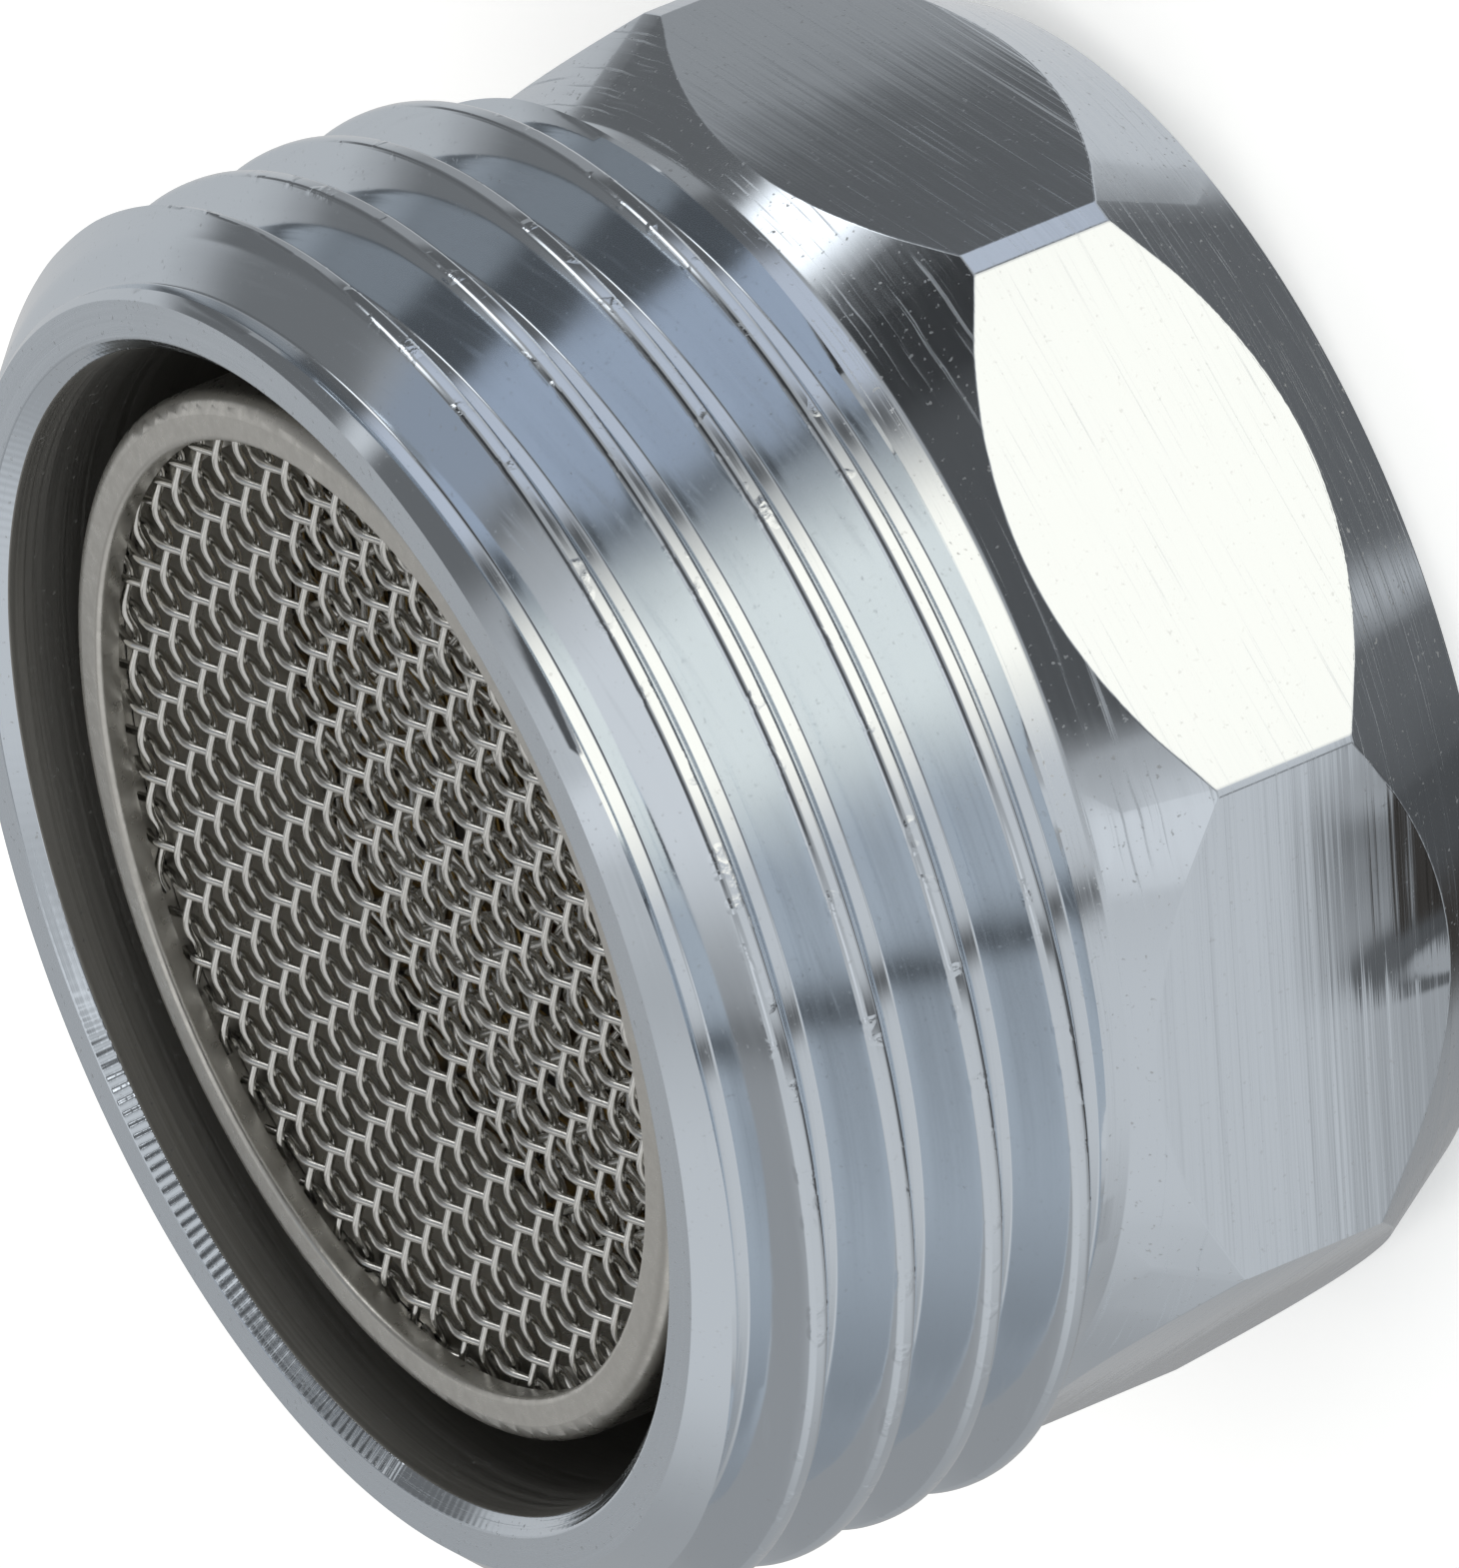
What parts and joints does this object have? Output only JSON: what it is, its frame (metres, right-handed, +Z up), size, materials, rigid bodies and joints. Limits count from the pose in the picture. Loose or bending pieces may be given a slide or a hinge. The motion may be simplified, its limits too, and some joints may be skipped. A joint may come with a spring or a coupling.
{
  "type": "tap aerator",
  "caption": "Chrome-plated eight-sided tap aerator with a male outlet thread, a female inlet thread and a screen insert that mixes air into the stream.",
  "frame": {"origin": "centre of the inlet rim, on which the part stands", "axes": "+Z up the bore axis from the inlet to the outlet; +X square to one of the eight flats"},
  "size_m": [0.0264, 0.0264, 0.017],
  "materials": {
    "plated_body": "bright chrome plate on turned brass, fine lathe streaks",
    "washer_rubber": "matt black",
    "brass_disc": "stamped, satin",
    "satin_steel": "drawn, satin",
    "screen_wire": "woven bright wire"
  },
  "bodies": {
    "root": {"housing": "plated_body", "inlet_washer": "washer_rubber", "jet_disc": "brass_disc", "center_rivet": "brass_disc", "splitter_disc": "brass_disc", "insert_cup": "satin_steel", "spacer_ring": "satin_steel", "upper_screen": "screen_wire", "middle_screen": "screen_wire", "outlet_screen": "screen_wire"}
  },
  "joints": []
}
